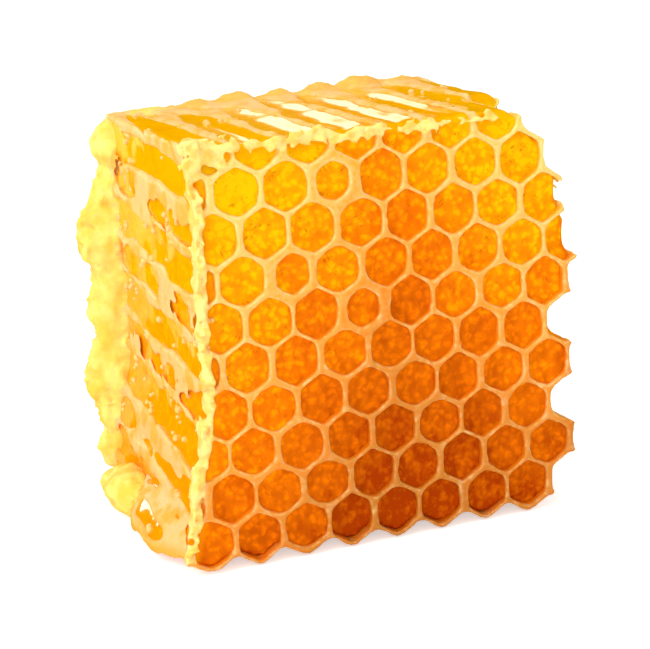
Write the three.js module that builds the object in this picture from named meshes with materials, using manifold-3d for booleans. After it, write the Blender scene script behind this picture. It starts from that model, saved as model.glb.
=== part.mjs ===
// A cut piece of honeycomb: two layers of wax cells stand back to back on a thin middle wall,
// and honey fills them to a little below their rims.
// Millimetres, +Z up. The open front face looks along -Y and the long cut side along -X.
// Shapes are worked out round the first whole cell of the front layer, and the finished
// piece is then moved so that it stands on z = 0 with its box centred on the origin.

import * as THREE from 'three';
import { mergeVertices } from 'three/addons/utils/BufferGeometryUtils.js';
import Module from 'manifold-3d';

const wasm = await Module();
wasm.setup();

// Cells
const cellPitch = 5.3;
const wallThickness = 0.8;
const rowPitch = cellPitch * Math.sqrt(3) / 2;
const firstRow = -2;
const lastRow = 9;
const firstColumn = -3;
const lastColumn = 8;
const centreJitter = 0.2;
const sizeJitter = 0.05;
const smallCellScale = 0.74;
const smallCells = ['0 2', '2 1', '3 3'];

// Thickness of the comb and what stands behind its open faces
const combDepth = 34;
const middleWall = 0.8;
const rimDepth = 4;
const honeyDrop = 1.8;
const honeyDropVariation = 0.5;
const gap = 0.3;
const roomSize = 200;

// Outline of the piece: its sides are cut on the left and along the top,
// and broken along the cells on the right and below
const topLeft = { x: -4.6, z: 4.9 };
const topRight = { x: 38.2, z: 5.7 };
const leftBend = { x: -4.7, z: -21 };
const leftFoot = { x: -6.9, z: -34 };
const bottomLeft = { x: -8.4, z: -40 };
const rightmostCentre = 34.6;
const topmostCentre = 5;
const lowestCentre = -39;
const cornerSum = 36;
const strayCell = { x: 37.1, z: -2 * rowPitch };
const leftReach = 2.6;

// How far the honey and the core lie inside the cut sides
const honeyInset = 0.6;
const coreInset = { left: 1.3, top: 1.7, bottom: 1.9 };
const coreRight = 33.4;

// Lumps of wax that hang over the left side and along the top at the back
const sideLumps = [
  { reach: 1.4, z: 1, height: 4.4 },
  { reach: 3.4, z: -9.5, height: 7 },
  { reach: 3.8, z: -17.5, height: 5 },
  { reach: 4.8, z: -26, height: 6.4 },
  { reach: 2.4, z: -36.5, height: 4.6 },
];
const sideLumpWidth = 4.5;
const sideLumpDepth = 3.4;
const sideLumpSink = 0.6;
const topLumpRise = 1.6;
const topLumpWidth = 3.3;
const topLumpRadius = 2.6;
const lumpSides = 9;
const lumpRings = 5;

// Torn flakes of wax round the front edges
const flakeWidth = 0.9;
const flakeThickness = 0.55;
const flakeLength = 2.4;
const flakeRoot = 0.8;
const flakeSides = 4;
const flakeReach = 1;

const waxMaterial = new THREE.MeshStandardMaterial({ color: 0xffd98a, roughness: 0.45, metalness: 0 });
const honeyMaterial = new THREE.MeshStandardMaterial({ color: 0xf08a00, roughness: 0.12, metalness: 0 });

// A repeatable value from 0 to 1 for a cell, its row and its column
function scatter(row, column, channel) {
  const value = Math.sin(row * 12.9898 + column * 78.233 + channel * 37.719) * 43758.5453;
  return value - Math.floor(value);
}

// A closed three.js geometry as a solid
function toSolid(geometry) {
  geometry.deleteAttribute('normal');
  geometry.deleteAttribute('uv');
  const merged = mergeVertices(geometry, 1e-4);
  return new wasm.Manifold(new wasm.Mesh({
    numProp: 3,
    vertProperties: new Float32Array(merged.attributes.position.array),
    triVerts: new Uint32Array(merged.index.array),
  }));
}

// The largest body of a solid as a named mesh, without loose scraps
function toMesh(solid, name, material, place) {
  const bodies = solid.decompose().sort((a, b) => b.volume() - a.volume());
  const result = bodies[0].getMesh();
  const geometry = new THREE.BufferGeometry();
  geometry.setAttribute('position', new THREE.BufferAttribute(result.vertProperties, result.numProp));
  geometry.setIndex(new THREE.BufferAttribute(result.triVerts, 1));
  geometry.computeVertexNormals();
  const mesh = new THREE.Mesh(geometry, material);
  mesh.name = name;
  mesh.position.copy(place);
  return mesh;
}

// A six-sided prism along Y with a corner pointing up
function hexPrism(x, z, acrossFlats, front, back) {
  const radius = acrossFlats / Math.sqrt(3);
  const geometry = new THREE.CylinderGeometry(radius, radius, back - front, 6);
  geometry.translate(x, (front + back) / 2, z);
  return toSolid(geometry);
}

// A slab along Y whose outline in X and Z is given by its corners
function slab(corners, front, back) {
  const shape = new THREE.Shape(corners.map(({ x, z }) => new THREE.Vector2(x, z)));
  const geometry = new THREE.ExtrudeGeometry(shape, { depth: back - front, bevelEnabled: false });
  geometry.rotateX(Math.PI / 2);
  geometry.translate(0, back, 0);
  return toSolid(geometry);
}

// The outline moved inwards by the given amounts, with its right side at a given X
function outline(left, top, bottom, right) {
  const topSlope = (topRight.z - topLeft.z) / (topRight.x - topLeft.x);
  return [
    { x: topLeft.x + left, z: topLeft.z - top },
    { x: leftBend.x + left, z: leftBend.z },
    { x: leftFoot.x + left, z: leftFoot.z },
    { x: bottomLeft.x + left, z: bottomLeft.z + bottom },
    { x: right, z: bottomLeft.z + bottom },
    { x: right, z: topLeft.z + topSlope * (right - topLeft.x) - top },
  ];
}

// X of the cut left side at a height
function leftSideAt(z) {
  const corners = [bottomLeft, leftFoot, leftBend, topLeft];
  const upper = corners.findIndex((corner) => corner.z > z);
  if (upper < 1) {
    return upper === 0 ? bottomLeft.x : topLeft.x;
  }
  const low = corners[upper - 1];
  const high = corners[upper];
  return low.x + (high.x - low.x) * (z - low.z) / (high.z - low.z);
}

// The cells of one layer, as their centres and the width of their openings
function layerCells(shiftX, shiftZ, layer) {
  const cells = [];
  for (let row = firstRow; row <= lastRow; row += 1) {
    for (let column = firstColumn; column <= lastColumn; column += 1) {
      const x = (column + Math.abs(row % 2) / 2) * cellPitch + shiftX;
      const z = -row * rowPitch + shiftZ;
      const stray = Math.hypot(x - strayCell.x, z - strayCell.z) < 1;
      const inside = x >= leftSideAt(z) - leftReach && x <= rightmostCentre
        && z <= topmostCentre && z >= lowestCentre && x + z <= cornerSum;
      if (inside || stray) {
        const small = layer === 0 && smallCells.includes(`${row} ${column}`);
        const spread = 1 + (scatter(row, column, layer + 2) - 0.5) * 2 * sizeJitter;
        cells.push({
          x,
          z,
          openX: x + (scatter(row, column, layer) - 0.5) * 2 * centreJitter,
          openZ: z + (scatter(row, column, layer + 1) - 0.5) * 2 * centreJitter,
          width: (cellPitch - wallThickness) * (small ? smallCellScale : spread),
          drop: honeyDrop + (scatter(row, column, layer + 3) - 0.5) * 2 * honeyDropVariation,
        });
      }
    }
  }
  return cells;
}

// The wax of one layer: the cells' outer forms joined, with the openings cut out
function waxLayer(cells, front, back) {
  const full = cells.map((cell) => hexPrism(cell.x, cell.z, cellPitch + wallThickness, front, back));
  const open = cells.map((cell) => hexPrism(cell.openX, cell.openZ, cell.width, front - 1, back + 1));
  return wasm.Manifold.union(full).subtract(wasm.Manifold.union(open));
}

// The ring where the two layers meet, which shows on the cut sides as a thin line
function middleRing(cells) {
  const front = (combDepth - middleWall) / 2;
  const back = (combDepth + middleWall) / 2;
  const discs = cells.map((cell) => hexPrism(cell.x, cell.z, cellPitch + wallThickness, front, back));
  return wasm.Manifold.union(discs);
}

// A rounded lump of wax, its faces given by three radii
function lump(x, y, z, radiusX, radiusY, radiusZ, grow) {
  const geometry = new THREE.SphereGeometry(1, lumpSides, lumpRings);
  geometry.rotateX(Math.PI / 2);
  geometry.scale(radiusX + grow, radiusY + grow, radiusZ + grow);
  geometry.translate(x, y, z);
  return toSolid(geometry);
}

// The overhanging lumps, grown by a clearance where they are used to cut the honey
function backLumps(grow) {
  const lumps = sideLumps.map(({ reach, z, height }) => {
    const x = leftSideAt(z) - reach + sideLumpWidth;
    return lump(x, combDepth - sideLumpSink, z, sideLumpWidth, sideLumpDepth, height, grow);
  });
  for (let x = 0; x < rightmostCentre; x += cellPitch) {
    const rise = topLumpRise * (1 + scatter(0, x, 5) + x / rightmostCentre) / 3;
    const z = topLeft.z + rise - topLumpRadius;
    lumps.push(lump(x, combDepth - topLumpRadius, z, topLumpWidth, topLumpRadius, topLumpRadius, grow));
  }
  return wasm.Manifold.union(lumps);
}

// A torn flake: a flat cone rooted on a wall and leaning away from the piece
function flake(x, z, angle, length) {
  const geometry = new THREE.ConeGeometry(flakeWidth, length, flakeSides);
  geometry.scale(1, 1, flakeThickness);
  geometry.translate(0, length / 2 - flakeRoot, 0);
  geometry.rotateX(Math.PI / 2);
  geometry.rotateY(angle);
  geometry.translate(x, flakeThickness, z);
  return toSolid(geometry);
}

// Flakes at the wall corners that lie along the left and the top of the front face
function frontFlakes(cells) {
  const flakes = [];
  cells.forEach((cell, index) => {
    const length = flakeLength * (0.7 + 0.5 * scatter(index, 3, 6));
    if (cell.x - cellPitch / 2 < leftSideAt(cell.z) + flakeReach) {
      const z = cell.z - cellPitch / Math.sqrt(3);
      flakes.push(flake(leftSideAt(z), z, -Math.PI / 2, length));
    }
    if (cell.z + rowPitch > topLeft.z) {
      flakes.push(flake(cell.x + cellPitch / 2, topLeft.z, 0, length));
    }
  });
  return wasm.Manifold.union(flakes);
}

// The honey of one layer, a six-sided filling in each cell
function honeyLayer(cells, spanOf) {
  const fillings = cells.map((cell) => {
    const [front, back] = spanOf(cell);
    return hexPrism(cell.openX, cell.openZ, cell.width - 2 * gap, front, back);
  });
  return wasm.Manifold.union(fillings);
}

const half = combDepth / 2;
const frontCells = layerCells(0, 0, 0);
const backCells = layerCells(cellPitch / 2, -cellPitch / Math.sqrt(12), 7);
const waxOutline = outline(0, 0, 0, topRight.x);
const honeyOutline = outline(honeyInset, honeyInset, honeyInset, topRight.x);
const coreOutline = outline(coreInset.left, coreInset.top, coreInset.bottom, coreRight);
const honeyCoreOutline = outline(
  coreInset.left + gap,
  coreInset.top + gap,
  coreInset.bottom + gap,
  coreRight - gap,
);

function makeWax() {
  const front = waxLayer(frontCells, 0, half);
  const back = waxLayer(backCells, half, combDepth);
  const ring = middleRing(frontCells.concat(backCells));
  const walls = wasm.Manifold.union([front, back, ring]).intersect(slab(waxOutline, 0, combDepth));
  const core = slab(coreOutline, rimDepth, combDepth - rimDepth);
  const rough = wasm.Manifold.union([walls.subtract(core), backLumps(0), frontFlakes(frontCells)]);
  return rough.intersect(standingRoom());
}

function makeHoney() {
  const wallFace = middleWall / 2 + gap;
  const front = honeyLayer(frontCells, (cell) => [cell.drop, half - wallFace]);
  const back = honeyLayer(backCells, (cell) => [half + wallFace, combDepth - cell.drop]);
  const fillings = wasm.Manifold.union([front, back]).intersect(slab(honeyOutline, 0, combDepth));
  const core = slab(honeyCoreOutline, rimDepth + gap, combDepth - rimDepth - gap);
  return wasm.Manifold.union([fillings, core]).subtract(backLumps(gap));
}

// Everything above the level that the piece stands on
function standingRoom() {
  const geometry = new THREE.BoxGeometry(roomSize, roomSize, roomSize);
  geometry.translate(0, 0, bottomLeft.z + roomSize / 2);
  return toSolid(geometry);
}

const wax = makeWax();
const honey = makeHoney();
const box = wax.boundingBox();
const place = new THREE.Vector3(
  -(box.min[0] + box.max[0]) / 2,
  -(box.min[1] + box.max[1]) / 2,
  -box.min[2],
);

const honeycomb = new THREE.Group();
honeycomb.add(toMesh(wax, 'wax_comb', waxMaterial, place));
honeycomb.add(toMesh(honey, 'honey', honeyMaterial, place));

export default honeycomb;
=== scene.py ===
import math

import bpy
from mathutils import Matrix, Vector


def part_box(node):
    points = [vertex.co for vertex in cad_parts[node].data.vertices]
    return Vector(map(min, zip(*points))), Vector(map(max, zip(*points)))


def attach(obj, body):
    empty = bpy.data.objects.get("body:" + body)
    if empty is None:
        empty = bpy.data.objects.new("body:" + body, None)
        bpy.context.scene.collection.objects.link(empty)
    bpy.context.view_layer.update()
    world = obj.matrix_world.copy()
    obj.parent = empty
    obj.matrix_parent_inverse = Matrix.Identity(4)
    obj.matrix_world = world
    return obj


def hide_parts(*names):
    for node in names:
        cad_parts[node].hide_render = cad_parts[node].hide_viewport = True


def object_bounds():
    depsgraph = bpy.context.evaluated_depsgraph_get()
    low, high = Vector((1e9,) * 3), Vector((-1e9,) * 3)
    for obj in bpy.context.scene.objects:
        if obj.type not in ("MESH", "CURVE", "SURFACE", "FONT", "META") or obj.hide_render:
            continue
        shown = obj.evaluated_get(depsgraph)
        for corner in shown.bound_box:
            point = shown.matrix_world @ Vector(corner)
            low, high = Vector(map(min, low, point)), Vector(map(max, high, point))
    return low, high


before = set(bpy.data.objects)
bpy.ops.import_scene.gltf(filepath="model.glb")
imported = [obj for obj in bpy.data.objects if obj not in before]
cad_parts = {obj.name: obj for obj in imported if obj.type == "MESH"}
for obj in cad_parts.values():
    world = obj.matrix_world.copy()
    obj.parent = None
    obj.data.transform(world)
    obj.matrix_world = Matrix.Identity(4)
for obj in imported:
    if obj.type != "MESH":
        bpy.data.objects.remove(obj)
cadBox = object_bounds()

# Lengths are in millimetres up to the last step of each piece, counted from the centre of the
# first whole cell: x runs along the rows, y from the open front face to the back, z up.
millimetre = 0.001
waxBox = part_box("wax_comb")

mostTriangles = 190000  # of one piece
comb = {
    "cellPitch": 5.3,
    "wall": 0.56,
    "depth": 34.0,
    "thinnest": 0.36,  # of the walls
    "middleWall": 0.7,
    "rimDepth": 2.2,  # how deep the walls are kept, as honey hides the rest
    "layersMeet": 17.0,  # depth where the front cells give way to those of the back
    "lean": 0.1,  # how much the cells rise from the front face to the back
    "firstCell": (10.12, 0.0, 40.0),  # from the low corner of the wax's box
    "leftSide": [(4.9, -4.6), (-21.0, -4.7), (-34.0, -6.9), (-40.0, -8.4)],  # z and x of the cut
    "topSide": (5.0, 0.02),  # height at x = 0 and its slope
    "rightSide": (36.8, 1.3),  # mean and swing, from row to row
    "rightTeeth": 1.6,  # how squarely it swings; 1 is a plain wave
    "rightStep": ((-8.5, 38.4), (-5.5, 36.8)),  # height and x where the right side steps back
    "tornCorner": (36.6, 4.5),  # sum of x and z where the upper right corner is broken off in front
    # and how much more it is behind, and the depths between which it grows
    "cornerGrows": (12.0, 14.5),
    "brokenFoot": 73.6,  # difference of x and z where the lower right corner is
    "strayCell": (-8.8, 2.3),  # height of a cell that stands out on the right, and how far it does
    "strayHalf": (2.4, 3.6),  # half its height at the tip and at the root
    "bottomTips": -39.85,
    "bottomSwing": 0.6,
    "swollenFoot": (11.5, -37.6, 2.0),  # y and z of the bulge low on the left, and how far out it is
    "footFades": ((3.0, 10.0), (0.6, 4.2)),  # where it starts and ends to fade, along y and z
    "smallCells": [(10.6, 0.0), (5.3, -9.2), (13.25, -13.8)],  # x and z
}
slope = 0.7  # from a sum of x and z to the depth below a side that slants half way
halfRootThree = math.sqrt(3) / 2
rowPitch = comb["cellPitch"] * math.sqrt(3) / 2
backShift = (comb["cellPitch"] / 2, comb["cellPitch"] / math.sqrt(12))
combCorner = Vector(waxBox[0]) / millimetre + Vector(comb["firstCell"])


# Numbers in a node tree that can be added and multiplied like plain ones
class treeNumber:
    def __init__(self, tree, socket):
        self.tree = tree
        self.socket = socket

    def math(self, operation, *others):
        node = self.tree.nodes.new("ShaderNodeMath")
        node.operation = operation
        for slot, value in zip(node.inputs, (self,) + others):
            feed(self.tree, value, slot)
        return treeNumber(self.tree, node.outputs[0])

    def __add__(self, other):
        return self.math("ADD", other)

    def __sub__(self, other):
        return self.math("SUBTRACT", other)

    def __rsub__(self, other):
        return -self + other

    def __mul__(self, other):
        return self.math("MULTIPLY", other)

    def __truediv__(self, other):
        return self.math("DIVIDE", other)

    def __neg__(self):
        return self.math("MULTIPLY", -1.0)

    __radd__ = __add__
    __rmul__ = __mul__


def feed(tree, value, slot):
    if isinstance(value, treeNumber):
        tree.links.new(value.socket, slot)
    elif isinstance(value, bpy.types.NodeSocket):
        tree.links.new(value, slot)
    else:
        slot.default_value = value


def lowest(first, *rest):
    for value in rest:
        first = first.math("MINIMUM", value)
    return first


def highest(first, *rest):
    for value in rest:
        first = first.math("MAXIMUM", value)
    return first


def softLowest(first, second, blend):
    return first.math("SMOOTH_MIN", second, blend)


def softHighest(first, second, blend):
    return first.math("SMOOTH_MAX", second, blend)


def between(value, low, high, resultLow=0.0, resultHigh=1.0):
    node = value.tree.nodes.new("ShaderNodeMapRange")
    node.interpolation_type = "SMOOTHSTEP"
    for name, part in (("Value", value), ("From Min", low), ("From Max", high),
                       ("To Min", resultLow), ("To Max", resultHigh)):
        feed(value.tree, part, node.inputs[name])
    return treeNumber(value.tree, node.outputs["Result"])


def choose(switch, whenLow, whenHigh):
    return whenLow + (whenHigh - whenLow) * switch


def point(tree, x, y, z):
    node = tree.nodes.new("ShaderNodeCombineXYZ")
    for slot, value in zip(node.inputs, (x, y, z)):
        feed(tree, value, slot)
    return node.outputs[0]


# Noise that swings from about -1 to 1, its features size millimetres wide
def ripple(tree, x, y, z, size, detail=1.0, seed=0.0):
    node = tree.nodes.new("ShaderNodeTexNoise")
    node.inputs["Scale"].default_value = 1.0 / size
    node.inputs["Detail"].default_value = detail
    feed(tree, point(tree, x + seed, y, z), node.inputs["Vector"])
    return (treeNumber(tree, node.outputs[0]) - 0.5) * 3.0


# Rounded pebbles: 1 on top of each, falling to 0 between them
def pebbles(tree, x, y, z, size, seed=0.0):
    node = tree.nodes.new("ShaderNodeTexVoronoi")
    node.feature = "SMOOTH_F1"
    node.inputs["Scale"].default_value = 1.0 / size
    node.inputs["Smoothness"].default_value = 0.35
    feed(tree, point(tree, x + seed, y, z), node.inputs["Vector"])
    return 1.0 - treeNumber(tree, node.outputs["Distance"]) * 1.3


def cellChance(tree, column, row, layer):
    node = tree.nodes.new("ShaderNodeTexWhiteNoise")
    node.noise_dimensions = "3D"
    feed(tree, point(tree, column, row, layer), node.inputs["Vector"])
    split = tree.nodes.new("ShaderNodeSeparateXYZ")
    tree.links.new(node.outputs["Color"], split.inputs[0])
    return [treeNumber(tree, socket) for socket in split.outputs[:3]]


# Distance from the middle of a hexagon, measured straight towards its nearest side
def acrossFlats(x, z):
    return highest(x, x * 0.5 + z * halfRootThree)


cellShape = {
    "strays": 0.38,  # how far its middle may lie from its place, from one side to the other
    "stretch": 1.03,
    "stretchSwing": 0.1,
    "roundness": 0.5,  # share of a circle in its outline
    "mouth": 0.515,  # half its opening, as a share of the pitch less the wall
    "mouthSwing": 0.08,
    "smallBy": 0.55,
    "fineRough": 0.12,
    "broadRough": 0.1,
}


# How far a spot lies inside the wall between two cells, in one layer of the comb, and three
# random numbers of its cell. Negative in the opening of a cell.
def layerWalls(tree, x, y, z, pitch, wall, rough, layer, shiftX, shiftZ, small):
    x = x - shiftX
    z = z - shiftZ
    half = pitch * 0.5
    row = pitch * halfRootThree
    ax = x.math("WRAP", half, -half)
    az = z.math("WRAP", row, -row)
    bx = (x - half).math("WRAP", half, -half)
    bz = (z - row).math("WRAP", row, -row)
    nearer = (bx * bx + bz * bz).math("LESS_THAN", ax * ax + az * az)
    gx = choose(nearer, ax, bx)
    gz = choose(nearer, az, bz)
    column = ((x - gx) / half).math("ROUND")
    rowNumber = ((z - gz) / row).math("ROUND")
    chance = cellChance(tree, column, rowNumber, layer)
    straight = acrossFlats(gx.math("ABSOLUTE"), gz.math("ABSOLUTE"))
    gx = gx - (chance[0] - 0.5) * cellShape["strays"]
    gz = gz - (chance[1] - 0.5) * cellShape["strays"]
    stretch = (chance[2] - 0.5) * cellShape["stretchSwing"] + cellShape["stretch"]
    ex = (gx * stretch).math("ABSOLUTE")
    ez = (gz / stretch).math("ABSOLUTE")
    circle = (ex * ex + ez * ez).math("SQRT")
    rim = acrossFlats(ex, ez) * (1.0 - cellShape["roundness"]) + circle * cellShape["roundness"]
    if rough:
        rim = rim + ripple(tree, x, y * 0.5, z, 0.8, 2.0, layer * 9.0) * cellShape["fineRough"]
        rim = rim + ripple(tree, x, y * 0.3, z, 2.4) * cellShape["broadRough"]
    opening = (pitch - wall) * cellShape["mouth"] * (1.0 + (chance[2] - 0.5) * cellShape["mouthSwing"])
    for cellX, cellZ in small:
        offX = column * half - cellX
        offZ = rowNumber * row - cellZ
        isThis = (offX * offX + offZ * offZ).math("LESS_THAN", 1.0)
        opening = opening - isThis * cellShape["smallBy"]
    return highest(rim - opening, straight - half + comb["thinnest"] / 2), chance


# X of the cut left side at a height
def leftSide(z):
    knots = comb["leftSide"]
    side = between(z, knots[1][0], knots[0][0], knots[1][1], knots[0][1])
    for low, high in ((2, 1), (3, 2)):
        share = between(z, knots[low][0], knots[high][0], knots[low][1] - knots[high][1], 0.0)
        side = side + share
    return side


unevenness = {  # in millimetres; where there are two, the first is broad and the second fine
    "front": 0.08,
    "frontTorn": 0.3,  # more than that beside the cut sides
    "back": 0.12,
    "left": (0.35, 0.12),
    "leftWet": 0.3,
    "top": (0.22, 0.15),
    "topWet": 0.06,
    "right": (0.6, 0.25),
    "corner": 0.5,
    "foot": 0.4,
    "step": 0.3,
    "bottom": 0.2,
    "tornReach": 3.5,  # how far from the cut side the front is torn
    "rimIn": 0.15,  # how far inside its box the front and the back stay
}


# Depth below the outside of the whole piece, side by side, positive inside. Wet is the
# smoother surface that the honey takes.
def outside(tree, x, y, z, wet=False):
    left, top, right = comb["leftSide"], comb["topSide"], comb["rightSide"]
    rough = ripple(tree, x, y, z, 5.0, 2.0, 3.0)
    fine = ripple(tree, x, y, z, 1.7, 2.0, 8.0)
    behind = y.math("GREATER_THAN", comb["layersMeet"])
    frontRows = (z * (math.pi / rowPitch)).math("COSINE") * -comb["rightTeeth"] * right[1]
    backRows = ((z + backShift[1]) * (math.pi / rowPitch)).math("COSINE") * comb["rightTeeth"] * right[1]
    swing = choose(behind, frontRows, backRows).math("MINIMUM", right[1]).math("MAXIMUM", -right[1])
    strayHeight, strayReach = comb["strayCell"]
    tipHalf, rootHalf = comb["strayHalf"]
    stray = between((z - strayHeight).math("ABSOLUTE"), rootHalf, tipHalf) * (1.0 - behind) * strayReach
    cornerSum, cornerMore = comb["tornCorner"]
    cornerSum = between(y, *comb["cornerGrows"], cornerSum, cornerSum + cornerMore)
    corner = (cornerSum - x - z) * slope + rough * unevenness["corner"]
    foot = (comb["brokenFoot"] - x + z) * slope + rough * unevenness["foot"]
    (stepLow, stepOut), (stepHigh, stepIn) = comb["rightStep"]
    step = between(z, stepLow, stepHigh, stepOut, stepIn) - x + rough * unevenness["step"]
    frontTips = (x * (2 * math.pi / comb["cellPitch"])).math("COSINE")
    tips = choose(behind, frontTips, -frontTips)
    footY, footZ, footReach = comb["swollenFoot"]
    (startY, endY), (startZ, endZ) = comb["footFades"]
    swollen = between((y - footY).math("ABSOLUTE"), endY, startY)
    swollen = swollen * between((z - footZ).math("ABSOLUTE"), endZ, startZ) * footReach
    cut = left[0][1]
    tornSide = highest(between(x, cut + unevenness["tornReach"], cut), between(z, 2.0, top[0]))
    frontRough = unevenness["front"] + tornSide * unevenness["frontTorn"]
    if wet:
        leftRough = rough * unevenness["leftWet"]
        topRough = rough * unevenness["topWet"]
    else:
        leftRough = rough * unevenness["left"][0] + fine * unevenness["left"][1]
        topRough = rough * unevenness["top"][0] + fine * unevenness["top"][1]
    rightRough = rough * unevenness["right"][0] + fine * unevenness["right"][1]
    aboveTips = z - comb["bottomTips"]
    underside = aboveTips - (1.0 - tips) * comb["bottomSwing"] - fine * unevenness["bottom"] - 0.1
    return {
        "front": y - fine * frontRough - unevenness["rimIn"],
        "back": comb["depth"] - y - fine * unevenness["back"] - unevenness["rimIn"],
        "left": x - leftSide(z) + swollen - leftRough,
        "top": top[0] + x * top[1] - z + topRough,
        "right": lowest(right[0] + swing + stray - x + rightRough, corner, foot, step),
        "bottom": lowest(underside, aboveTips),
    }


def lumpDepth(x, y, z, centre, radii):
    parts = [((v - c) / r) for v, c, r in zip((x, y, z), centre, radii)]
    length = (parts[0] * parts[0] + parts[1] * parts[1] + parts[2] * parts[2]).math("SQRT")
    return (1.0 - length) * min(radii)


lumps = {
    "side": [  # how far each stands out to the left, y and z of its middle, and its three radii
        (2.0, 34.4, 1.2, (4.5, 2.7, 3.6)),
        (1.7, 34.4, -3.8, (4.0, 2.6, 3.2)),
        (4.6, 34.4, -9.6, (5.5, 2.7, 5.2)),
        (3.2, 34.4, -14.6, (5.0, 2.6, 3.6)),
        (4.3, 34.5, -18.4, (5.5, 2.6, 3.8)),
        (3.5, 34.4, -22.4, (5.0, 2.6, 3.6)),
        (4.4, 34.3, -26.6, (5.5, 2.8, 4.6)),
        (2.5, 34.2, -31.2, (4.5, 2.6, 3.4)),
        (2.2, 34.0, -35.2, (4.5, 2.6, 3.4)),
        (3.2, 23.5, -37.4, (3.0, 6.0, 2.7)),
    ],
    "topRise": [0.4, 0.8, 1.1, 1.0, 1.4, 1.7, 1.2],  # of one lump a cell, along the back of the top
    "topRadii": (3.4, 2.6, 2.6),
    "melted": 1.0,  # how wide the lumps run together
    "folds": 0.65,  # broad unevenness
    "crinkles": 0.3,  # fine unevenness
}


def leftSideAt(z):
    knots = comb["leftSide"]
    for (highZ, highX), (lowZ, lowX) in zip(knots, knots[1:]):
        if z >= lowZ:
            return lowX + (highX - lowX) * min(1.0, (z - lowZ) / (highZ - lowZ))
    return knots[-1][1]


def allLumps(tree, x, y, z):
    rounds = []
    for reach, middleY, height, radii in lumps["side"]:
        rounds.append(((leftSideAt(height) - reach + radii[0], middleY, height), radii))
    radii = lumps["topRadii"]
    for number, rise in enumerate(lumps["topRise"]):
        height = comb["topSide"][0] + rise - radii[2]
        rounds.append(((number * comb["cellPitch"], comb["depth"] - radii[1], height), radii))
    total = None
    for centre, radii in rounds:
        depth = lumpDepth(x, y, z, centre, radii)
        total = depth if total is None else softHighest(total, depth, lumps["melted"])
    folds = ripple(tree, x, y, z, 2.6, 3.0, 5.0) * lumps["folds"]
    crinkles = ripple(tree, x, y, z, 1.0, 1.0, 9.0) * lumps["crinkles"]
    return total + folds + crinkles - 0.1


def newTree(name, inputs):
    tree = bpy.data.node_groups.new(name, "GeometryNodeTree")
    tree.interface.new_socket("Geometry", in_out="OUTPUT", socket_type="NodeSocketGeometry")
    for label, default in inputs:
        socket = tree.interface.new_socket(label, in_out="INPUT", socket_type="NodeSocketFloat")
        socket.default_value = default
    start = tree.nodes.new("NodeGroupInput")
    values = {label: treeNumber(tree, start.outputs[label]) for label, _ in inputs}
    return tree, values


def position(tree):
    node = tree.nodes.new("GeometryNodeInputPosition")
    split = tree.nodes.new("ShaderNodeSeparateXYZ")
    tree.links.new(node.outputs[0], split.inputs[0])
    return [treeNumber(tree, socket) for socket in split.outputs]


# Fill a box with the density, and turn what is above zero into a mesh
def meshOfDensity(tree, density, low, high, voxel):
    cube = tree.nodes.new("GeometryNodeVolumeCube")
    feed(tree, density, cube.inputs["Density"])
    cube.inputs["Background"].default_value = -1.0
    cube.inputs["Min"].default_value = low
    cube.inputs["Max"].default_value = high
    for axis, first, last in zip("XYZ", low, high):
        cube.inputs[f"Resolution {axis}"].default_value = int((last - first) / voxel)
    skin = tree.nodes.new("GeometryNodeVolumeToMesh")
    tree.links.new(cube.outputs[0], skin.inputs["Volume"])
    skin.inputs["Threshold"].default_value = 0.0
    skin.inputs["Adaptivity"].default_value = 0.0
    return skin.outputs[0]


# Even out the steps that the grid leaves on a surface
def smoothed(tree, geometry, rounds):
    blur = tree.nodes.new("GeometryNodeBlurAttribute")
    blur.data_type = "FLOAT_VECTOR"
    blur.inputs["Iterations"].default_value = rounds
    place = tree.nodes.new("GeometryNodeInputPosition")
    value = next(socket for socket in blur.inputs if socket.name == "Value" and socket.enabled)
    tree.links.new(place.outputs[0], value)
    move = tree.nodes.new("GeometryNodeSetPosition")
    tree.links.new(geometry, move.inputs["Geometry"])
    result = next(socket for socket in blur.outputs if socket.enabled)
    tree.links.new(result, move.inputs["Position"])
    return move.outputs[0]


def storeNumber(tree, geometry, name, value):
    node = tree.nodes.new("GeometryNodeStoreNamedAttribute")
    node.data_type = "FLOAT"
    node.domain = "POINT"
    node.inputs["Name"].default_value = name
    tree.links.new(geometry, node.inputs["Geometry"])
    feed(tree, value, node.inputs["Value"])
    return node.outputs[0]


# Put a geometry in its place in the frame, give it its material and end the tree
def finishTree(tree, geometry, material):
    move = tree.nodes.new("GeometryNodeTransform")
    move.inputs["Translation"].default_value = combCorner * millimetre
    move.inputs["Scale"].default_value = (millimetre,) * 3
    tree.links.new(geometry, move.inputs[0])
    smooth = tree.nodes.new("GeometryNodeSetShadeSmooth")
    tree.links.new(move.outputs[0], smooth.inputs[0])
    real = tree.nodes.new("GeometryNodeRealizeInstances")
    tree.links.new(smooth.outputs[0], real.inputs[0])
    paint = tree.nodes.new("GeometryNodeSetMaterial")
    paint.inputs["Material"].default_value = material
    tree.links.new(real.outputs[0], paint.inputs[0])
    end = tree.nodes.new("NodeGroupOutput")
    tree.links.new(paint.outputs[0], end.inputs[0])


# Keep what a piece's modifiers make of it, and take them off
def plainMesh(piece, name):
    graph = bpy.context.evaluated_depsgraph_get()
    made = bpy.data.meshes.new_from_object(piece.evaluated_get(graph), depsgraph=graph)
    made.name = name
    made.validate()
    piece.modifiers.clear()
    piece.data = made
    return made


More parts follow.
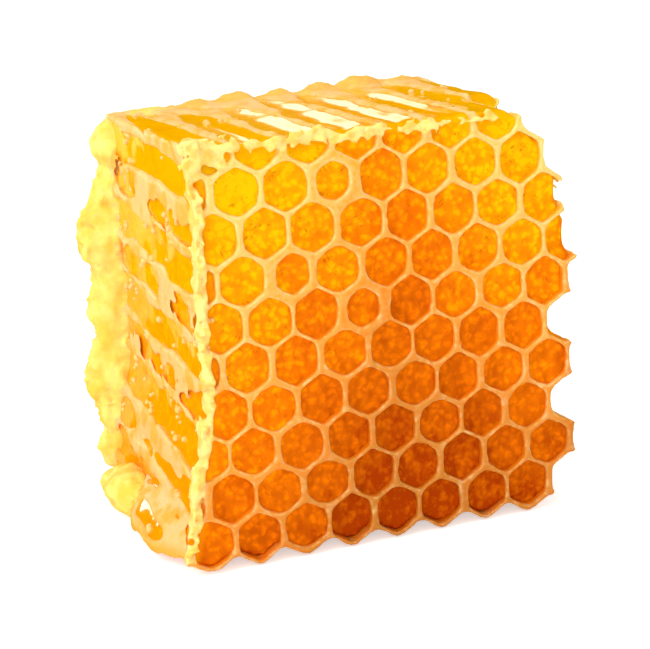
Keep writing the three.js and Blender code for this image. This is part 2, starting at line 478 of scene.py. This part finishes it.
# Run a tree on an empty mesh and keep the result, with no more triangles than asked for
def growPiece(name, tree, settings, most=0):
    piece = bpy.data.objects.new(name, bpy.data.meshes.new(name))
    bpy.context.scene.collection.objects.link(piece)
    grower = piece.modifiers.new("grower", "NODES")
    grower.node_group = tree
    for item in tree.interface.items_tree:
        if item.in_out == "INPUT" and item.name in settings:
            grower[item.identifier] = settings[item.name]
    made = plainMesh(piece, name)
    count = sum(len(face.vertices) - 2 for face in made.polygons)
    if most and count > most:
        piece.modifiers.new("thinner", "DECIMATE").ratio = most / count
        made = plainMesh(piece, name)
    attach(piece, "root")
    print(f"{name}: {sum(len(face.vertices) - 2 for face in made.polygons)} triangles")
    return piece


def frontLayer(tree, x, y, z, pitch, wall, rough):
    sunk = z - y * comb["lean"]
    return layerWalls(tree, x, y, sunk, pitch, wall, rough, 1.0, 0.0, 0.0, comb["smallCells"])


def backLayer(tree, x, y, z, pitch, wall, rough):
    risen = z + (comb["depth"] - y) * comb["lean"]
    return layerWalls(tree, x, y, risen, pitch, wall, rough, 2.0, backShift[0], -backShift[1], [])


def bothLayers(tree, x, y, z, pitch, wall, rough):
    front, frontChance = frontLayer(tree, x, y, z, pitch, wall, rough)
    back, backChance = backLayer(tree, x, y, z, pitch, wall, rough)
    behind = y.math("GREATER_THAN", comb["layersMeet"])
    return choose(behind, front, back), choose(behind, frontChance[2], backChance[2])


torn = {
    "thickness": 0.28,
    "sway": 0.55,  # how far the torn sheets bend out of their plane
    "fineShreds": 0.9,
    "broadShreds": 0.6,
    "side": 1.2,  # how far they stand out along the cut side
    "rooted": 0.9,  # and how deep they reach into it
    "top": 4.6,  # height of the torn rim along the top
    "worn": (8.0, 34.0),  # x between which the rim along the top dwindles
}


# Torn sheets of wax along the front edges of the cut sides, positive inside
def tornEdges(tree, x, y, z, sides):
    cut = comb["leftSide"][0][1]
    bend = ripple(tree, x, y, z, 2.0, 1.0, 31.0) + ripple(tree, x, y, z, 0.8, 1.0, 35.0) * 0.4
    bend = bend * torn["sway"]
    shreds = ripple(tree, x, y * 0.3, z, 1.2, 3.0, 37.0) * torn["fineShreds"]
    shreds = shreds + ripple(tree, x, y, z, 3.5, 1.0, 43.0) * torn["broadShreds"]
    onTop = shreds - (z - torn["top"]).math("ABSOLUTE") * 0.8 - between(x, *torn["worn"]) * 0.4 + 0.5
    corner = shreds + 0.15 - between(x - cut, 3.0, 9.0) * 2.0 - between(sides["top"], 1.5, 4.0) * 1.5
    upright = torn["thickness"] - (y - 0.2 - bend).math("ABSOLUTE")
    front = softLowest(highest(onTop, corner), upright, 0.2)
    alongSide = shreds + 0.55 - (y - 0.9).math("ABSOLUTE") * 0.7
    sideways = lowest(torn["thickness"] + sides["left"] + bend * 0.7, torn["rooted"] - sides["left"])
    side = softLowest(alongSide, sideways, 0.2)
    reach = lowest(sides["top"] + 0.9, sides["right"] - 2.0, sides["bottom"] - 0.6)
    reach = lowest(reach, sides["left"] + torn["side"])
    return softLowest(softHighest(front, side, 0.2), reach, 0.2)


pressed = {
    "depth": (2.6, 0.8),  # below the cut, where the walls start to widen and where they are widest
    "lessOnTop": 1.2,
    "wider": 0.3,
    "swing": 0.85,
}


# How much wider the walls are where the knife has pressed them flat
def widening(tree, x, y, z, sides):
    share = between(lowest(sides["left"], sides["top"] + pressed["lessOnTop"]), *pressed["depth"])
    share = share * between(y, 1.5, 4.0) * between(z, -39.5, -37.5)
    return share * (pressed["wider"] + ripple(tree, x, y * 0.4, z, 3.2, 1.0, 21.0) * pressed["swing"])


def growWax(name, low, high, voxel, material):
    settings = [("cellPitch", comb["cellPitch"]), ("wallThickness", comb["wall"]),
                ("rimDepth", comb["rimDepth"])]
    tree, values = newTree(name + "Tree", settings)
    inFront = low[1] < 0
    layer = frontLayer if inFront else backLayer
    x, y, z = position(tree)
    walls = layer(tree, x, y, z, values["cellPitch"], values["wallThickness"], True)[0]
    sides = outside(tree, x, y, z)
    flat = lowest(*sides.values())
    smear = widening(tree, x, y, z, sides)
    meet = comb["middleWall"] / 2 - (y - comb["layersMeet"]).math("ABSOLUTE")
    standing = softHighest(walls + smear, lowest(meet, flat - 0.9), 0.3)
    shell = lowest(flat, values["rimDepth"] - flat)
    wax = softLowest(standing, shell, 0.1)
    if inFront:
        wax = softHighest(wax, tornEdges(tree, x, y, z, sides), 0.15)
    else:
        wax = softHighest(wax, allLumps(tree, x, y, z), 0.6)
    wax = lowest(wax, z - comb["bottomTips"])
    geometry = smoothed(tree, meshOfDensity(tree, wax, low, high, voxel), 2)
    x, y, z = position(tree)
    sides = outside(tree, x, y, z)
    walls = layer(tree, x, y, z, values["cellPitch"], values["wallThickness"], False)[0]
    geometry = storeNumber(tree, geometry, "depth", lowest(*sides.values()))
    geometry = storeNumber(tree, geometry, "sideCut", lowest(sides["left"], sides["top"]))
    geometry = storeNumber(tree, geometry, "wallDepth", walls)
    if inFront:
        geometry = storeNumber(tree, geometry, "tornPart", tornEdges(tree, x, y, z, sides) + 1.0)
    else:
        geometry = storeNumber(tree, geometry, "lobe", allLumps(tree, x, y, z) + 1.0)
    finishTree(tree, geometry, material)
    piece = growPiece(name, tree, dict(settings), mostTriangles)
    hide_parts("wax_comb")
    return piece


honeyFill = {
    "drop": 1.05,  # depth of the honey below the rims
    "film": 0.32,  # below the cut left side
    "topFilm": 0.2,  # and below the top
    "pebbleHeight": 0.3,
    "rippleHeight": 0.15,
    "dropSwing": 0.6,  # from cell to cell
    "climbs": 0.4,  # up the walls of its cell
    "sideSag": 0.45,
    "topSag": 0.35,
}


def honeyDensity(tree, x, y, z, pitch, wall, drop):
    walls, chance = bothLayers(tree, x, y, z, pitch, wall, False)
    sides = outside(tree, x, y, z, True)
    wet = between(walls, -0.5, 0.0) * honeyFill["climbs"]
    bumps = pebbles(tree, x, y * 0.4, z, 0.95, 4.0) * honeyFill["pebbleHeight"]
    bumps = bumps + ripple(tree, x, y, z, 1.5, 2.0, 13.0) * honeyFill["rippleHeight"]
    level = (chance - 0.5) * honeyFill["dropSwing"] - wet - bumps + drop
    hollow = between(walls + widening(tree, x, y, z, sides) * 1.2, 0.1, -2.2) * honeyFill["sideSag"]
    pools = ripple(tree, x, y * 0.6, z, 4.0, 1.0, 17.0) * 0.25 + honeyFill["film"]
    trough = between(walls, 0.2, -2.2) * honeyFill["topSag"] + honeyFill["topFilm"]
    return lowest(sides["front"] - level, sides["back"] - level, sides["left"] - hollow - pools,
                  sides["top"] - trough, sides["right"] - 0.3, sides["bottom"] - 0.35)


def growHoney(name, low, high, voxel, material):
    settings = [("cellPitch", comb["cellPitch"]), ("wallThickness", comb["wall"]),
                ("drop", honeyFill["drop"])]
    tree, values = newTree(name + "Tree", settings)
    x, y, z = position(tree)
    honey = honeyDensity(tree, x, y, z, values["cellPitch"], values["wallThickness"], values["drop"])
    geometry = smoothed(tree, meshOfDensity(tree, honey, low, high, voxel), 9)
    x, y, z = position(tree)
    chance = bothLayers(tree, x, y, z, comb["cellPitch"], comb["wall"], False)[1]
    sides = outside(tree, x, y, z)
    geometry = storeNumber(tree, geometry, "cellTone", chance)
    geometry = storeNumber(tree, geometry, "sideCut", lowest(sides["left"], sides["top"]))
    finishTree(tree, geometry, material)
    piece = growPiece(name, tree, dict(settings), mostTriangles)
    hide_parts("honey")
    return piece


bubbles = {
    "perSquareMillimetre": 1.0,
    "smallest": 0.1,
    "largest": 0.42,
    "seed": 11,
}


# Drops and air bubbles that sit on the honey of the cut sides
def growBubbles(name, low, high, voxel, material):
    settings = [("perSquareMillimetre", bubbles["perSquareMillimetre"]),
                ("smallest", bubbles["smallest"]), ("largest", bubbles["largest"])]
    tree, values = newTree(name + "Tree", settings)
    x, y, z = position(tree)
    honey = honeyDensity(tree, x, y, z, comb["cellPitch"], comb["wall"], honeyFill["drop"])
    bed = smoothed(tree, meshOfDensity(tree, honey, low, high, voxel), 2)
    x, y, z = position(tree)
    sides = outside(tree, x, y, z)
    sidePatches = between(ripple(tree, x, y, z, 3.4, 1.0, 51.0), 0.15, 0.6)
    topPatches = between(ripple(tree, x, y, z, 2.2, 1.0, 57.0), 0.3, 0.8) * 0.5
    onSide = between(sides["left"], 2.0, 1.3) * sidePatches
    onTop = between(sides["top"], 1.8, 1.2) * topPatches
    inside = between(y, 0.6, 1.4) * between(sides["bottom"], 0.8, 1.4) * between(sides["right"], 0.8, 1.4)
    scatter = tree.nodes.new("GeometryNodeDistributePointsOnFaces")
    tree.links.new(bed, scatter.inputs["Mesh"])
    feed(tree, highest(onSide, onTop) * inside * values["perSquareMillimetre"], scatter.inputs["Density"])
    scatter.inputs["Seed"].default_value = bubbles["seed"]
    ball = tree.nodes.new("GeometryNodeMeshIcoSphere")
    ball.inputs["Radius"].default_value = 1.0
    ball.inputs["Subdivisions"].default_value = 2
    size = tree.nodes.new("FunctionNodeRandomValue")
    feed(tree, values["smallest"], size.inputs[2])
    feed(tree, values["largest"], size.inputs[3])
    size.inputs["Seed"].default_value = bubbles["seed"] + 1
    put = tree.nodes.new("GeometryNodeInstanceOnPoints")
    tree.links.new(scatter.outputs["Points"], put.inputs["Points"])
    tree.links.new(ball.outputs["Mesh"], put.inputs["Instance"])
    tree.links.new(size.outputs[1], put.inputs["Scale"])
    finishTree(tree, put.outputs[0], material)
    piece = growPiece(name, tree, dict(settings))
    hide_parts("honey")
    return piece


# Materials

def newMaterial(name):
    material = bpy.data.materials.new(name)
    material.use_nodes = True
    tree = material.node_tree
    return material, tree, tree.nodes["Principled BSDF"]


def objectPlace(tree):
    node = tree.nodes.new("ShaderNodeTexCoord")
    return node.outputs["Object"]


def objectNumbers(tree):
    split = tree.nodes.new("ShaderNodeSeparateXYZ")
    tree.links.new(objectPlace(tree), split.inputs[0])
    return [treeNumber(tree, socket) for socket in split.outputs]


# Painted light and shade in the wax and honey colours, standing in for light that passes through the
# comb: lighter near the upper and side edges, darker low down, in the middle, to the lower right and
# along the far right side
paintedLightThrough = {
    "across": 36.0,  # width and height over which the painted shade changes
    "down": 38.0,
    "least": 0.07,
    "below": 0.49,
    "middle": 0.24,
    "lowRight": 0.12,
    "rightSide": 0.14,
}


# Painted shade, standing in for light through the comb: 0 near the upper edges, painted as lit, 1 low in
# the middle, painted as where least light comes through
def paintedShadeAcross(tree):
    x, y, z = objectNumbers(tree)
    across = (x - combCorner[0] * millimetre) / (paintedLightThrough["across"] * millimetre)
    down = (combCorner[2] * millimetre - z) / (paintedLightThrough["down"] * millimetre)
    middle = 1.0 - (across * 2.0 - 0.9).math("ABSOLUTE").math("MINIMUM", 1.0)
    tone = down * paintedLightThrough["below"] + middle * paintedLightThrough["middle"] + paintedLightThrough["least"]
    tone = tone + across * (down + 0.3) * paintedLightThrough["lowRight"]
    tone = tone + between(across, 0.99, 1.05) * paintedLightThrough["rightSide"]
    return tone.math("MAXIMUM", 0.0)


def colourRamp(tree, factor, stops):
    node = tree.nodes.new("ShaderNodeValToRGB")
    ramp = node.color_ramp
    while len(ramp.elements) < len(stops):
        ramp.elements.new(0.5)
    for element, (place, colour) in zip(ramp.elements, stops):
        element.position = place
        element.color = (*colour, 1.0)
    feed(tree, factor, node.inputs[0])
    return node.outputs[0]


def mixColour(tree, factor, first, second, blend="MIX"):
    node = tree.nodes.new("ShaderNodeMix")
    node.data_type = "RGBA"
    node.blend_type = blend
    feed(tree, factor, node.inputs[0])
    for slot, value in ((node.inputs[6], first), (node.inputs[7], second)):
        if isinstance(value, tuple):
            slot.default_value = (*value, 1.0)
        else:
            tree.links.new(value, slot)
    return node.outputs[2]


def attribute(tree, name):
    node = tree.nodes.new("ShaderNodeAttribute")
    node.attribute_name = name
    return treeNumber(tree, node.outputs["Fac"])


def noiseOn(tree, size, detail=3.0, roughness=0.6):
    node = tree.nodes.new("ShaderNodeTexNoise")
    tree.links.new(objectPlace(tree), node.inputs["Vector"])
    node.inputs["Scale"].default_value = 1.0 / (size * millimetre)
    node.inputs["Detail"].default_value = detail
    node.inputs["Roughness"].default_value = roughness
    return treeNumber(tree, node.outputs[0])


# Light that enters the surface and comes out again, up to a depth in millimetres
def letThrough(shader, weight, radius, depth):
    shader.inputs["Subsurface Weight"].default_value = weight
    shader.inputs["Subsurface Radius"].default_value = radius
    shader.inputs["Subsurface Scale"].default_value = depth * millimetre


def addBump(tree, shader, height, distance, strength):
    node = tree.nodes.new("ShaderNodeBump")
    node.inputs["Distance"].default_value = distance * millimetre
    node.inputs["Strength"].default_value = strength
    feed(tree, height, node.inputs["Height"])
    tree.links.new(node.outputs[0], shader.inputs["Normal"])


waxLook = {
    # rim and inside: wax colours along the painted shade, from lit to shaded
    "rim": [(0.1, (1.0, 0.74, 0.26)), (0.5, (0.90, 0.39, 0.06)), (0.7, (0.68, 0.27, 0.035)),
            (0.9, (0.54, 0.21, 0.025))],
    "inside": [(0.1, (1.0, 0.50, 0.01)), (0.5, (0.90, 0.24, 0.0)), (0.9, (0.50, 0.10, 0.0))],
    "pale": (1.0, 0.80, 0.42),
    "side": (1.0, 0.56, 0.24),
    "sideDeep": (1.0, 0.42, 0.05),
    "topLump": (1.0, 0.44, 0.09),
    "lobe": (1.0, 0.78, 0.22),
    "lobeDeep": (1.0, 0.62, 0.08),
    "torn": (1.0, 0.80, 0.28),
    # colour painted in the shaded crinkles of the torn sheets
    "tornShaded": (1.0, 0.55, 0.04),
    "footSoaked": (3.2, 1.6),  # heights above the floor between which honey soaks the foot
    "lobesTurn": (-16.0, -9.0),  # x between which the side lumps give way to those of the top
    "grainHeight": 0.12,
}


def makeWaxMaterial():
    material, tree, shader = newMaterial("cream beeswax")
    # The painted shade picks the wax colours: paler and lit-looking near the upper edges, darker and
    # redder low in the middle
    across = paintedShadeAcross(tree)
    rim = colourRamp(tree, across + 0.08, waxLook["rim"])
    inside = colourRamp(tree, across, waxLook["inside"])
    grain = noiseOn(tree, 1.0, 4.0)
    depth = attribute(tree, "depth")
    deep = between(depth + (grain - 0.5) * 0.3, 0.12, 0.55)
    sideCut = between(attribute(tree, "sideCut"), 1.6, 0.7)
    x, y, z = objectNumbers(tree)
    low = between(z / millimetre, *waxLook["footSoaked"])
    soaked = highest(between(noiseOn(tree, 3.0, 2.0), 0.46, 0.62), low)
    sideColour = mixColour(tree, soaked, waxLook["side"], waxLook["sideDeep"])
    colour = mixColour(tree, between(noiseOn(tree, 1.4, 3.0), 0.5, 0.75) * 0.35, rim, waxLook["pale"])
    junction = between(attribute(tree, "wallDepth"), 0.2, 0.6) * (1.0 - sideCut)
    speckles = between(noiseOn(tree, 0.5, 3.0), 0.42, 0.62)
    colour = mixColour(tree, junction * 0.22 + speckles * (0.25 + junction * 0.4), colour, inside)
    # Painted highlight: pale patches along the edges of the cell mouths, weaker where the painted shade
    # is deep
    rimHighlight = between(attribute(tree, "wallDepth"), 0.24, 0.06) * (1.0 - sideCut)
    rimHighlight = rimHighlight * between(noiseOn(tree, 0.7, 3.0), 0.4, 0.6) * (0.55 - across * 0.5)
    colour = mixColour(tree, rimHighlight, colour, waxLook["pale"])
    # Deeper in the cell mouths the wax takes the darker inside colour: partly the honey that wets it,
    # partly painted shade in the recess
    colour = mixColour(tree, deep, colour, inside)
    colour = mixColour(tree, sideCut * 0.85, colour, sideColour)
    soft = between(noiseOn(tree, 2.8, 3.0), 0.36, 0.66)
    lobeColour = mixColour(tree, soft, waxLook["lobe"], waxLook["lobeDeep"])
    onTop = between(x / millimetre, *waxLook["lobesTurn"])
    lobeColour = mixColour(tree, onTop * 0.75, lobeColour, waxLook["topLump"])
    colour = mixColour(tree, between(attribute(tree, "lobe"), 0.7, 1.0), colour, lobeColour)
    # Painted shade: random patches of the torn sheets painted deeper orange, standing in for shade in
    # their crinkles
    crinkleShade = between(noiseOn(tree, 1.2, 4.0), 0.44, 0.6) * 0.7
    tornColour = mixColour(tree, crinkleShade, waxLook["torn"], waxLook["tornShaded"])
    colour = mixColour(tree, between(attribute(tree, "tornPart"), 0.75, 1.0) * 0.85, colour, tornColour)
    tree.links.new(colour, shader.inputs["Base Color"])
    shader.inputs["Roughness"].default_value = 0.35
    letThrough(shader, 0.5, (1.0, 0.5, 0.15), 0.9)
    addBump(tree, shader, noiseOn(tree, 0.45, 4.0), waxLook["grainHeight"], 0.7)
    return material


honeyLook = {
    # body: honey colours along the painted shade, from lit to shaded
    "body": [(0.1, (1.0, 0.58, 0.0)), (0.3, (1.0, 0.38, 0.0)), (0.5, (0.90, 0.195, 0.0)),
             (0.7, (0.64, 0.113, 0.0)), (0.9, (0.40, 0.028, 0.0))],
    "vein": (0.60, 0.10, 0.0),
    "side": (1.0, 0.37, 0.0),
    "cellSwing": 0.07,
    "patchSwing": 0.45,
    "pebble": 0.85,  # size of the pebbles, and how far they are bent out of round
    "pebbleWarp": 1.4,
    "drops": (1.0, 0.58, 0.22),
}


def noiseStretched(tree, lengths, angle=0.0, detail=2.0):
    turn = tree.nodes.new("ShaderNodeMapping")
    turn.vector_type = "TEXTURE"
    turn.inputs["Rotation"].default_value = (0.0, angle, 0.0)
    turn.inputs["Scale"].default_value = [length * millimetre for length in lengths]
    tree.links.new(objectPlace(tree), turn.inputs["Vector"])
    node = tree.nodes.new("ShaderNodeTexNoise")
    node.inputs["Scale"].default_value = 1.0
    node.inputs["Detail"].default_value = detail
    node.inputs["Distortion"].default_value = 0.6
    tree.links.new(turn.outputs[0], node.inputs["Vector"])
    return treeNumber(tree, node.outputs[0])


# Short strokes that lean one way, 1 inside them
def strokesOn(tree, angle, length, width):
    return between(noiseStretched(tree, (length, length, width), angle), 0.6, 0.7)


def makeHoneyMaterial():
    material, tree, shader = newMaterial("amber honey")
    # Painted shade of light through the comb, plus a random tone from cell to cell; the blobs and stripes
    # below change with it too
    across = paintedShadeAcross(tree) + (attribute(tree, "cellTone") - 0.5) * honeyLook["cellSwing"]
    broad = (noiseOn(tree, 2.2, 3.0) - 0.5) * honeyLook["patchSwing"]
    pebble = tree.nodes.new("ShaderNodeTexVoronoi")
    pebble.feature = "F1"
    pebble.inputs["Scale"].default_value = 1.0 / (honeyLook["pebble"] * millimetre)
    bent = tree.nodes.new("ShaderNodeVectorMath")
    bent.operation = "MULTIPLY_ADD"
    warp = tree.nodes.new("ShaderNodeTexNoise")
    warp.inputs["Scale"].default_value = 1.0 / (1.1 * millimetre)
    tree.links.new(objectPlace(tree), warp.inputs["Vector"])
    tree.links.new(warp.outputs["Color"], bent.inputs[0])
    bent.inputs[1].default_value = (honeyLook["pebbleWarp"] * millimetre,) * 3
    tree.links.new(objectPlace(tree), bent.inputs[2])
    tree.links.new(bent.outputs[0], pebble.inputs["Vector"])
    blobs = between(treeNumber(tree, pebble.outputs["Distance"]), 0.7, 0.1) * (0.29 - across * 0.18)
    stripes = (noiseStretched(tree, (0.9, 3.0, 2.2)) - 0.5) * across * 0.5
    tone = across + broad - blobs + stripes + 0.12
    colour = colourRamp(tree, tone, honeyLook["body"])
    patches = between(noiseOn(tree, 1.8, 1.0), 0.46, 0.6)
    strokes = highest(strokesOn(tree, 0.9, 1.0, 0.22), strokesOn(tree, -0.6, 0.8, 0.2))
    onFront = between(attribute(tree, "sideCut"), 1.0, 2.0)
    colour = mixColour(tree, (1.0 - onFront) * 0.6, colour, honeyLook["side"])
    colour = mixColour(tree, strokes * patches * onFront * 0.7, colour, honeyLook["vein"])
    tree.links.new(colour, shader.inputs["Base Color"])
    shader.inputs["Roughness"].default_value = 0.1
    letThrough(shader, 0.35, (1.0, 0.35, 0.03), 1.2)
    shader.inputs["Coat Weight"].default_value = 0.3
    shader.inputs["Coat Roughness"].default_value = 0.04
    return material


def makeDropMaterial():
    material, _, shader = newMaterial("pale honey drops")
    shader.inputs["Base Color"].default_value = (*honeyLook["drops"], 1.0)
    shader.inputs["Roughness"].default_value = 0.08
    letThrough(shader, 0.4, (1.0, 0.5, 0.2), 0.4)
    return material


# Camera and light

photoView = {
    "azimuth": -20.46,
    "elevation": 14.66,
    "roll": -3.3,
    "place": (-50.96, -159.52, 29.73),
    "sensor": 36,
    "focal": 1700 / 650 * 36,  # 1700 pixels of a picture 650 wide
}


def makeCamera():
    turn, rise, roll = (math.radians(photoView[name]) for name in ("azimuth", "elevation", "roll"))
    back = Vector((math.sin(turn) * math.cos(rise), -math.cos(turn) * math.cos(rise), math.sin(rise)))
    right = (-back).cross(Vector((0, 0, 1))).normalized()
    up = right.cross(-back)
    rolledRight = right * math.cos(roll) + up * math.sin(roll)
    rolledUp = up * math.cos(roll) - right * math.sin(roll)
    lens = bpy.data.cameras.new("photoCamera")
    lens.sensor_width = photoView["sensor"]
    lens.lens = photoView["focal"]
    lens.clip_start = 0.01
    camera = bpy.data.objects.new("photoCamera", lens)
    turned = Matrix((rolledRight, rolledUp, back)).transposed().to_4x4()
    place = (combCorner + Vector(photoView["place"])) * millimetre
    camera.matrix_world = Matrix.Translation(place) @ turned
    bpy.context.scene.collection.objects.link(camera)
    bpy.context.scene.camera = camera


def softbox(name, place, size, power, shows):
    light = bpy.data.lights.new(name, "AREA")
    light.shape = "RECTANGLE"
    light.size, light.size_y = size
    light.energy = power
    light.color = studio["lampColour"]
    holder = bpy.data.objects.new(name, light)
    holder.location = place
    aim = Vector((0.0, 0.0, cadBox[1][2] / 2))
    holder.rotation_euler = (aim - Vector(place)).to_track_quat("-Z", "Y").to_euler()
    holder.visible_camera = False
    holder.visible_glossy = shows
    bpy.context.scene.collection.objects.link(holder)


studio = {
    "around": 0.68,  # strength of the even light from all sides
    "mirrored": (1.0, 0.50, 0.0),  # what the glossy surfaces reflect, as in a warm room
    "seen": 1.0,  # brightness of the backdrop in the picture
    "paperGlow": 0.5,
    "paperReach": 3.0,  # metres
    "lampColour": (1.0, 0.94, 0.84),
    "boxes": [
        # name, place, size, watts, shows in reflections
        ("windowBox", (-0.30, -0.10, 0.34), (0.30, 0.20), 1.0, False),
        ("frontBox", (-0.20, -0.55, 0.25), (0.40, 0.40), 1.25, False),
        ("backBox", (0.16, 0.45, 0.155), (0.06, 0.045), 0.016, True),
        ("topBox", (0.05, 0.05, 0.50), (0.30, 0.30), 0.3, False),
        ("leftBox", (-0.45, 0.02, 0.14), (0.30, 0.20), 0.18, False),
        ("sideBox", (-0.20, 0.42, 0.09), (0.08, 0.06), 0.1, True),
    ],
}


def makeWorld():
    world = bpy.data.worlds.new("studioWorld")
    world.use_nodes = True
    tree = world.node_tree
    rays = tree.nodes.new("ShaderNodeLightPath")
    seen = treeNumber(tree, rays.outputs["Is Camera Ray"])
    strength = seen * (studio["seen"] - studio["around"]) + studio["around"]
    feed(tree, strength, tree.nodes["Background"].inputs["Strength"])
    mirrored = treeNumber(tree, rays.outputs["Is Glossy Ray"])
    light = mixColour(tree, mirrored, (1.0, 1.0, 1.0), studio["mirrored"])
    tree.links.new(light, tree.nodes["Background"].inputs["Color"])
    bpy.context.scene.world = world


def makeFloor():
    floorMesh = bpy.data.meshes.new("studioFloor")
    reach = studio["paperReach"]
    corners = [(-reach, -reach, 0), (reach, -reach, 0), (reach, reach, 0), (-reach, reach, 0)]
    floorMesh.from_pydata(corners, [], [(0, 1, 2, 3)])
    floor = bpy.data.objects.new("studioFloor", floorMesh)
    paper, tree, shader = newMaterial("white paper")
    shader.inputs["Base Color"].default_value = (0.95, 0.95, 0.95, 1.0)
    shader.inputs["Roughness"].default_value = 0.8
    shader.inputs["Emission Color"].default_value = (1.0, 1.0, 1.0, 1.0)
    rays = tree.nodes.new("ShaderNodeLightPath")
    seen = treeNumber(tree, rays.outputs["Is Camera Ray"])
    feed(tree, seen * studio["paperGlow"], shader.inputs["Emission Strength"])
    floorMesh.materials.append(paper)
    bpy.context.scene.collection.objects.link(floor)
    floor.visible_glossy = False


def makeStudio():
    makeWorld()
    for name, place, size, power, shows in studio["boxes"]:
        softbox(name, place, size, power, shows)
    makeFloor()
    bpy.context.scene.view_settings.view_transform = "Standard"


makeCamera()
makeStudio()
beeswax = makeWaxMaterial()
print("camera, light and wax material are ready")
# Each piece with the low and high corner of the space that it grows in, and the step of its grid
lowCorner = (-12.0, -1.0, -40.5)
half = comb["depth"] / 2
growWax("combFrontLeft", lowCorner, (14.2, half, 7.5), 0.2, beeswax)
growWax("combFrontRight", (13.8, *lowCorner[1:]), (39.2, half, 7.5), 0.2, beeswax)
growWax("combBack", (lowCorner[0], half, lowCorner[2]), (39.0, 37.6, 7.5), 0.34, beeswax)
growHoney("honeyBody", lowCorner, (39.0, 35.0, 7.5), 0.34, makeHoneyMaterial())
growBubbles("honeyDrops", lowCorner, (39.0, 35.0, 7.5), 0.6, makeDropMaterial())
